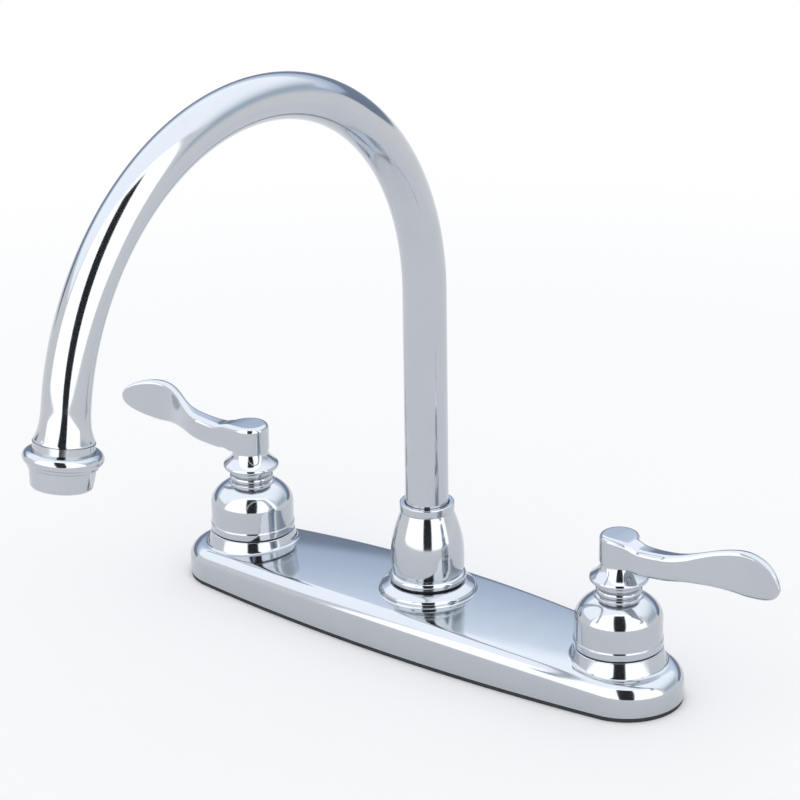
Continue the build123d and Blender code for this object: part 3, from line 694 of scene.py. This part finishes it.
def form_plate():
    """The plate as a hollow shell, open below, of an outer and an inner skin."""
    rows = plate_skin(PLATE_WALL, edge_steps=8, crown_steps=8)[::-1]
    rows += plate_skin(0.0, edge_steps=24, crown_steps=14)
    return [point for row in rows for point in row], grid_faces(len(rows), len(rows[0]))


def form_seat(x, top, wall_top, wall_foot, foot_round):
    """A round seat, with its upper outline, whose wall runs in a hollow round into the crowned plate."""
    (r0, z0), (r1, z1) = wall_top, wall_foot
    lean = (r1 - r0) / (z0 - z1)
    tilt = atan(lean)
    columns = []
    for index in range(ROUND_SIDES):
        angle = 2 * pi * index / ROUND_SIDES

        def across(radius):
            return crown_height(x + radius * cos(angle), radius * sin(angle))

        # A few rounds settle the centre of the hollow round between wall and crown.
        rc, zc, slope = r1, z1, 0.0
        for _ in range(6):
            slope = (across(rc + 0.1) - across(rc - 0.1)) / 0.2
            zc = across(rc) + foot_round * sqrt(1 + slope * slope)
            rc = r0 + lean * (z0 - zc) + foot_round / cos(tilt)
        column = [(r, z) for r, z in top] + [wall_top]
        first, last = pi + tilt, 1.5 * pi + atan(slope)
        for turn in range(13):
            a = first + (last - first) * turn / 12
            column.append((rc + foot_round * cos(a), zc + foot_round * sin(a)))
        column.append((column[-1][0] + 0.3, column[-1][1] - SEAT_SINK))
        column.append((HOLE_RADIUS, across(HOLE_RADIUS) - SEAT_SINK))
        columns.append([(x + r * cos(angle), r * sin(angle), z) for r, z in column])
    rows = list(zip(*columns))
    return [point for row in rows for point in row], grid_faces(len(rows), ROUND_SIDES, closed_rows=True)


def make_plate():
    """The hollow deck plate with its three raised seats, each bored for a threaded socket."""
    piece = add_piece("plate_with_seats", *form_plate())
    bore(piece, [((x, 0, 0), (x, 0, 30), HOLE_RADIUS) for x in (-HANDLE_X, 0, HANDLE_X)])
    corner = (HANDLE_SEAT_RADIUS, HANDLE_SEAT_TOP)
    handle_top = [(HOLE_RADIUS, HANDLE_SEAT_TOP)]
    handle_top += softened(corner, (0, HANDLE_SEAT_TOP), HANDLE_FOOT, 0.6)[:-1]
    wall_top = (HANDLE_SEAT_RADIUS, HANDLE_SEAT_TOP - HANDLE_SEAT_EDGE)
    spout_top = outline(
        (HOLE_RADIUS, SPOUT_SEAT_RIM[1]),
        (*SPOUT_SEAT_RIM, 0.5),
        SPOUT_SEAT_SHOULDER,
        curve(SPOUT_SEAT_SHOULDER, SPOUT_SEAT_WALL, (2, -1), (0, -1), 12)[:-1],
    )
    seats = [
        form_seat(-HANDLE_X, handle_top, wall_top, HANDLE_FOOT, HANDLE_FOOT_ROUND),
        form_seat(HANDLE_X, handle_top, wall_top, HANDLE_FOOT, HANDLE_FOOT_ROUND),
        form_seat(0, spout_top, SPOUT_SEAT_WALL, SPOUT_FOOT, SPOUT_FOOT_ROUND),
    ]
    shaped = bmesh.new()
    shaped.from_mesh(piece.data)
    for index, seat in enumerate(seats):
        raised = add_piece(f"seat_{index}", *seat)
        shaped.from_mesh(raised.data)
        bpy.data.objects.remove(raised)
    shaped.to_mesh(piece.data)
    shaped.free()
    place_on(piece, "base", "deck_plate")


# ---------------------------------------------------------------- bells, skirts and spout nut
def make_bonnet(side, x):
    """The bell: a foot bead, a straight side, a dome and a ringed neck."""
    step = (BONNET_TOP - BONNET_SHOULDER) / 8
    lip_top = BONNET_BOTTOM + BONNET_LIP_HEIGHT
    side_top = (BONNET_SIDE_RADIUS, BONNET_BOTTOM + BONNET_SIDE_HEIGHT)
    bead = [BONNET_SHOULDER + share * step for share in (2.0, 3.5, 5.0)]
    section = outline(
        (SOCKET_RADIUS + FIT, BONNET_BOTTOM),
        (BONNET_LIP_RADIUS, BONNET_BOTTOM, 0.5),
        (BONNET_LIP_RADIUS, lip_top - 0.15, 0.5),
        (BONNET_SIDE_RADIUS, lip_top + 0.1, 0.15),
        side_top,
        curve(side_top, (BONNET_SHOULDER_RADIUS, BONNET_SHOULDER), (0, 1), (-3, 1), 40),
        (BONNET_SHOULDER_RADIUS, BONNET_SHOULDER + 1.2 * step, 0.3),
        (BEAD_ROOT, bead[0]),
        bulge((BEAD_ROOT, bead[0]), (BEAD_CREST, bead[1]), (BEAD_ROOT, bead[2])),
        (GROOVE_RADIUS, bead[2] + step / 2, 0.15),
        (COLLAR_RADIUS, bead[2] + step, 0.2),
        (COLLAR_RADIUS, BONNET_TOP, 0.4),
        (NECK_BORE, BONNET_TOP),
        (NECK_BORE, CHAMBER_TOP),
        (CHAMBER_RADIUS, CHAMBER_TOP),
        (CHAMBER_RADIUS, CHAMBER_FOOT),
        (SOCKET_RADIUS + FIT, CHAMBER_FOOT),
    )
    place_on(turned(f"{side}_bell", section, x), "base", f"{side}_bonnet")


def make_skirt(side, x):
    """The spool under the lever, with a thin rounded rim."""
    foot = (SKIRT_FOOT_RADIUS, SKIRT_BOTTOM)
    hollow_top = SKIRT_BOTTOM + SKIRT_HOLLOW_HEIGHT
    section = outline(
        (SKIRT_HOLLOW_RADIUS, SKIRT_BOTTOM),
        foot,
        bulge(foot, *SKIRT_RIM),
        curve(SKIRT_RIM[1], (SKIRT_TOP_RADIUS, SKIRT_TOP - 0.4), (-5, 4), (0, 1), 30),
        (SKIRT_TOP_RADIUS, SKIRT_TOP, 0.3),
        (STEM_RADIUS + FIT, SKIRT_TOP),
        (STEM_RADIUS + FIT, hollow_top),
        (SKIRT_HOLLOW_RADIUS, hollow_top),
    )
    place_on(turned(f"{side}_spool", section, x), f"{side}_handle", f"{side}_handle_skirt")


def make_spout_nut():
    """The barrel at the spout's foot, with a bead below and a turned lip above."""
    foot = (NUT_FOOT_RADIUS, NUT_BOTTOM)
    bead = (NUT_BEAD_RADIUS, NUT_BOTTOM + NUT_BEAD_HEIGHT / 2)
    bead_top = (NUT_FOOT_RADIUS, NUT_BOTTOM + NUT_BEAD_HEIGHT)
    belly = (NUT_BELLY_RADIUS, NUT_BOTTOM + NUT_BELLY_HEIGHT)
    lip = NUT_TOP - NUT_LIP_HEIGHT
    section = outline(
        (SOCKET_RADIUS + FIT, NUT_BOTTOM),
        foot,
        bulge(foot, bead, bead_top),
        curve(bead_top, belly, (0.34, 1), (-0.02, 1), 24),
        curve(belly, (NUT_SHOULDER_RADIUS, lip - 0.9), (-0.02, 1), (-0.38, 1), 40),
        (NUT_GROOVE_RADIUS, lip, 0.15),
        (NUT_LIP_RADIUS, lip + 0.4, 0.3),
        (NUT_LIP_RADIUS, NUT_TOP, 0.6),
        (NUT_HOLE_RADIUS, NUT_TOP, 0.3),
        (NUT_HOLE_RADIUS, NUT_CHAMBER_TOP),
        (SOCKET_RADIUS + FIT, NUT_CHAMBER_TOP),
    )
    place_on(turned("spout_barrel", section, 0), "base", "spout_nut")


# ---------------------------------------------------------------- levers
ARM_HALF_HEIGHT, PADDLE_HALF_HEIGHT = 5.7, 9.5
ARM_HALF_WIDTH, PADDLE_HALF_WIDTH = 5.2, 2.3
ARM_FRONT, PADDLE_FRONT = -8.4, 3.1
ARM_EDGE = 2.6
PADDLE_LEAN = radians(5.0)
TIP_CURL = -6.2
ARM_DIP, PADDLE_LIFT = 1.1, 2.9
HUB_BLEND = 3.0               # width of the fillet where the hub runs into the arm
SCREW_LEVEL = SKIRT_TOP + 4.6
SCREW_RADIUS = 2.0

# Where each change along the lever starts and ends, out from the handle's axis.
PADDLE_GROWS = (29.4, 60.7)
ARM_NARROWS = (0, 48)
FRONT_SETS_IN = (0, 8)
PADDLE_BENDS = (25.4, 56.8)
ARM_DIPS = (7, 14)
PADDLE_LIFTS = (14, 48)
SOLE_ROUNDS = (5, 13)
CREST_FALLS = (0, 16)
CREST_WIDENS = (0, 20)
PADDLE_LEANS = (5, 50)


def lever_girth(place):
    """Near and far faces, underside, top and lean of the lever, place mm out from the handle's axis."""
    circle = sqrt(max(HUB_RADIUS**2 - place**2, 0))
    if place <= 0:
        return -circle, circle, SKIRT_TOP, HUB_TOP, 0.0
    past = max(place - TIP_START, 0) / (LEVER_REACH - TIP_START)
    closing = sqrt(max(1 - past**2, 0))
    half_height = ARM_HALF_HEIGHT + (PADDLE_HALF_HEIGHT - ARM_HALF_HEIGHT) * eased(*PADDLE_GROWS, place)
    half_width = ARM_HALF_WIDTH + (PADDLE_HALF_WIDTH - ARM_HALF_WIDTH) * eased(*ARM_NARROWS, place)
    near = -HUB_RADIUS + (ARM_FRONT + HUB_RADIUS) * eased(*FRONT_SETS_IN, place)
    near += (PADDLE_FRONT - ARM_FRONT) * eased(*PADDLE_BENDS, place)
    middle_y = near + half_width + TIP_CURL * past**2
    middle_z = SKIRT_TOP + 0.15 + ARM_HALF_HEIGHT
    middle_z = middle_z - ARM_DIP * eased(*ARM_DIPS, place) + PADDLE_LIFT * eased(*PADDLE_LIFTS, place)
    half_height, half_width = half_height * closing, half_width * closing
    far = middle_y + half_width
    if circle > far - HUB_BLEND:
        overlap = max(HUB_BLEND - abs(circle - far), 0) / HUB_BLEND
        far = max(circle, far) + overlap**2 * HUB_BLEND / 4 * eased(0, HUB_BLEND, place)
    low = SKIRT_TOP + (middle_z - half_height - SKIRT_TOP) * eased(*SOLE_ROUNDS, place)
    high = HUB_TOP + (middle_z + half_height - HUB_TOP) * eased(*CREST_FALLS, place)
    return middle_y - half_width, far, low, high, PADDLE_LEAN * eased(*PADDLE_LEANS, place)


def lever_ring(place):
    """Points round the lever at a place: underside, near side, top and far side."""
    near, far, low, high, lean = lever_girth(place)
    half, middle = (far - near) / 2, (far + near) / 2
    top_round = HUB_ROUND
    if place > 0:
        top_round = min(HUB_ROUND + (ARM_EDGE - HUB_ROUND) * eased(*CREST_WIDENS, place), 0.86 * half)
    top_round = min(top_round, 0.98 * (high - low) / 2)
    low_round = min(ARM_EDGE * eased(*SOLE_ROUNDS, place), 0.86 * half, 0.98 * (high - low) / 2)

    def roof(across):
        past = abs(across) - (half - top_round)
        if place <= 0:
            past = hypot(place, across) - (HUB_RADIUS - HUB_ROUND)
        return high - top_round + sqrt(max(top_round**2 - max(past, 0) ** 2, 0))

    def sole(across):
        past = max(abs(across) - (half - low_round), 0)
        return low + low_round - sqrt(max(low_round**2 - past**2, 0))

    widths = [-half * cos(pi * i / 40) for i in range(41)]
    flat = high - top_round - low - low_round
    ring = [(y, sole(y)) for y in widths]
    ring += [(half, low + low_round + flat * i / 13) for i in range(1, 13)]
    ring += [(y, roof(y)) for y in reversed(widths)]
    ring += [(-half, high - top_round - flat * i / 13) for i in range(1, 13)]
    centre = (low + high) / 2
    return [(middle + y * cos(lean) + (z - centre) * sin(lean),
             centre + (z - centre) * cos(lean) - y * sin(lean)) for y, z in ring]


def make_lever(side, sign):
    """Hub, arm and paddle as one flowing form, bored for the stem and for the set screw at its back."""
    x = sign * HANDLE_X
    # The rings lie closer together round the hub and at the tip.
    places = [-HUB_RADIUS * cos(pi / 2 * i / 28) for i in range(28)]
    places += [i * 0.3 for i in range(50)] + [15 + i * 0.6 for i in range(71)]
    places += [TIP_START + (LEVER_REACH - TIP_START) * sin(pi / 2 * i / 36) for i in range(1, 37)]
    rings = [lever_ring(place) for place in places]
    points = [(x + sign * place, y, z) for place, ring in zip(places, rings) for y, z in ring]
    piece = add_piece(f"{side}_lever_form", points, grid_faces(len(places), len(rings[0])))
    stem = ((x, 0, SKIRT_TOP - 1), (x, 0, HUB_TOP - HUB_ROOF), STEM_RADIUS)
    screw = ((x, 0, SCREW_LEVEL), (x, HUB_RADIUS + 2, SCREW_LEVEL), SCREW_RADIUS)
    bore(piece, [stem, screw])
    place_on(piece, f"{side}_handle", f"{side}_lever")


# ---------------------------------------------------------------- spout tube
def tube_station(distance):
    """Centre of the tube's path and how far it has turned, distance mm from its foot."""
    rise = ARCH_START - TUBE_START
    arch = ARCH_RADIUS * ARCH_TURN
    if distance <= rise:
        return Vector((0, 0, TUBE_START + distance)), 0.0
    turn = min((distance - rise) / ARCH_RADIUS, ARCH_TURN)
    centre = Vector((0, -ARCH_RADIUS * (1 - cos(turn)), ARCH_START + ARCH_RADIUS * sin(turn)))
    return centre + LEG * max(distance - rise - arch, 0), turn


def make_tube():
    """The gooseneck with its flared end, an open tube."""
    straight = ARCH_START - TUBE_START
    flare_start = straight + ARCH_RADIUS * ARCH_TURN + LEG_LENGTH
    # Up the outside to the flare, over its rim and back down the bore.
    stations = [(straight * i / 16, TUBE_RADIUS) for i in range(16)]
    stations += [(straight + (flare_start - straight) * i / 200, TUBE_RADIUS) for i in range(201)]
    flare = curve((TUBE_RADIUS, 0), (FLARE_RADIUS, FLARE_LENGTH - 0.8), (0, 1), (1, 2), 40)
    stations += [(flare_start + height, radius) for radius, height in flare]
    end = flare_start + FLARE_LENGTH
    stations += [(end - 0.2, FLARE_RADIUS), (end, FLARE_RADIUS - 0.2), (end, TUBE_BORE)]
    stations += [(end * i / 60, TUBE_BORE) for i in range(59, -1, -1)]
    points = []
    for distance, radius in stations:
        centre, turn = tube_station(distance)
        out = Vector((0, -cos(turn), -sin(turn)))
        for index in range(TUBE_SIDES):
            angle = 2 * pi * index / TUBE_SIDES
            points.append(centre + Vector((1, 0, 0)) * radius * cos(angle) + out * radius * sin(angle))
    place_on(add_piece("gooseneck", points, grid_faces(len(stations), TUBE_SIDES, closed_rows=True)),
             "spout", "spout_tube")


# ---------------------------------------------------------------- outlet honeycomb
INSERT_RADIUS = 9.4
INSERT_LENGTH = 10.0
INSERT_END = HOUSING_END - 1.6
HOLE_PITCH = 2.9
CELL_WALL = 0.35
CELL_ROWS = 9
SIDEWAYS = Vector((1, 0, 0))
OUTLET_TURN = Matrix((SIDEWAYS, LEG.cross(SIDEWAYS), LEG)).transposed().to_4x4()


def make_honeycomb():
    """Rows of six-sided cells that fill the outlet's mouth, in one rim."""
    tree = bpy.data.node_groups.new("honeycomb", "GeometryNodeTree")
    tree.interface.new_socket("Geometry", in_out="OUTPUT", socket_type="NodeSocketGeometry")
    sizes = {"Pitch": HOLE_PITCH * MM, "Radius": INSERT_RADIUS * MM, "Length": INSERT_LENGTH * MM}
    sockets = {name: tree.interface.new_socket(name, in_out="INPUT", socket_type="NodeSocketFloat")
               for name in sizes}
    web = Web(tree)
    given = web.add("NodeGroupInput").outputs
    reach = web.math("MULTIPLY", given["Pitch"], float(CELL_ROWS - 1))
    rise = web.math("MULTIPLY", reach, sqrt(3) / 2)
    grid = web.add("GeometryNodeMeshGrid", {"Size X": reach, "Size Y": rise,
                   "Vertices X": CELL_ROWS, "Vertices Y": CELL_ROWS})
    spot = web.add("GeometryNodeInputPosition").outputs[0]
    row = web.math("FLOORED_MODULO", web.add("GeometryNodeInputIndex").outputs[0], float(CELL_ROWS))
    half_pitch = web.math("MULTIPLY", given["Pitch"], 0.5)
    shift = web.math("MULTIPLY", web.math("FLOORED_MODULO", row, 2.0), half_pitch)
    moved = web.add("GeometryNodeSetPosition", {"Geometry": grid.outputs[0],
                    "Offset": web.add("ShaderNodeCombineXYZ", {"X": shift}).outputs[0]})
    out = web.add("ShaderNodeVectorMath", {0: spot}, operation="LENGTH").outputs["Value"]
    inside = web.math("SUBTRACT", given["Radius"], half_pitch)
    beyond = web.math("GREATER_THAN", out, inside)
    kept = web.add("GeometryNodeDeleteGeometry", {"Geometry": moved.outputs[0], "Selection": beyond})
    cell = web.add("GeometryNodeMeshCylinder", {"Vertices": 6, "Depth": given["Length"],
                   "Radius": web.math("DIVIDE", given["Pitch"], sqrt(3))}, fill_type="NONE")
    cells = web.add("GeometryNodeInstanceOnPoints", {"Points": kept.outputs[0],
                    "Instance": cell.outputs["Mesh"], "Rotation": (0.0, 0.0, pi / 6)})
    rim = web.add("GeometryNodeMeshCylinder", {"Vertices": HOLE_SIDES, "Depth": given["Length"],
                  "Radius": given["Radius"]}, fill_type="NONE")
    joined = web.add("GeometryNodeJoinGeometry")
    web.links.new(cells.outputs[0], joined.inputs[0])
    web.links.new(rim.outputs["Mesh"], joined.inputs[0])
    real = web.add("GeometryNodeRealizeInstances", {"Geometry": joined.outputs[0]})
    finish = web.add("GeometryNodeSetMaterial", {"Geometry": real.outputs[0]})
    finish.inputs["Material"].default_value = FINISHES["white_plastic"]
    web.links.new(finish.outputs[0], web.add("NodeGroupOutput").inputs[0])

    piece = bpy.data.objects.new("outlet_honeycomb", bpy.data.meshes.new("outlet_honeycomb"))
    bpy.context.scene.collection.objects.link(piece)
    rule = piece.modifiers.new("honeycomb", "NODES")
    rule.node_group = tree
    for name, size in sizes.items():
        rule[sockets[name].identifier] = size
    walls = piece.modifiers.new("walls", "SOLIDIFY")
    walls.thickness = CELL_WALL * MM
    settle(piece)
    middle = FLARE_RIM + LEG * (INSERT_END - INSERT_LENGTH / 2)
    piece.data.transform(Matrix.Translation(middle * MM) @ OUTLET_TURN)
    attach(piece, "spout")
    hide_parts("aerator_insert")


# ---------------------------------------------------------------- putting the faucet together
make_plate()
for side, sign in (("left", -1), ("right", 1)):
    make_bonnet(side, sign * HANDLE_X)
    make_skirt(side, sign * HANDLE_X)
    make_lever(side, sign)
make_spout_nut()
make_tube()
make_honeycomb()
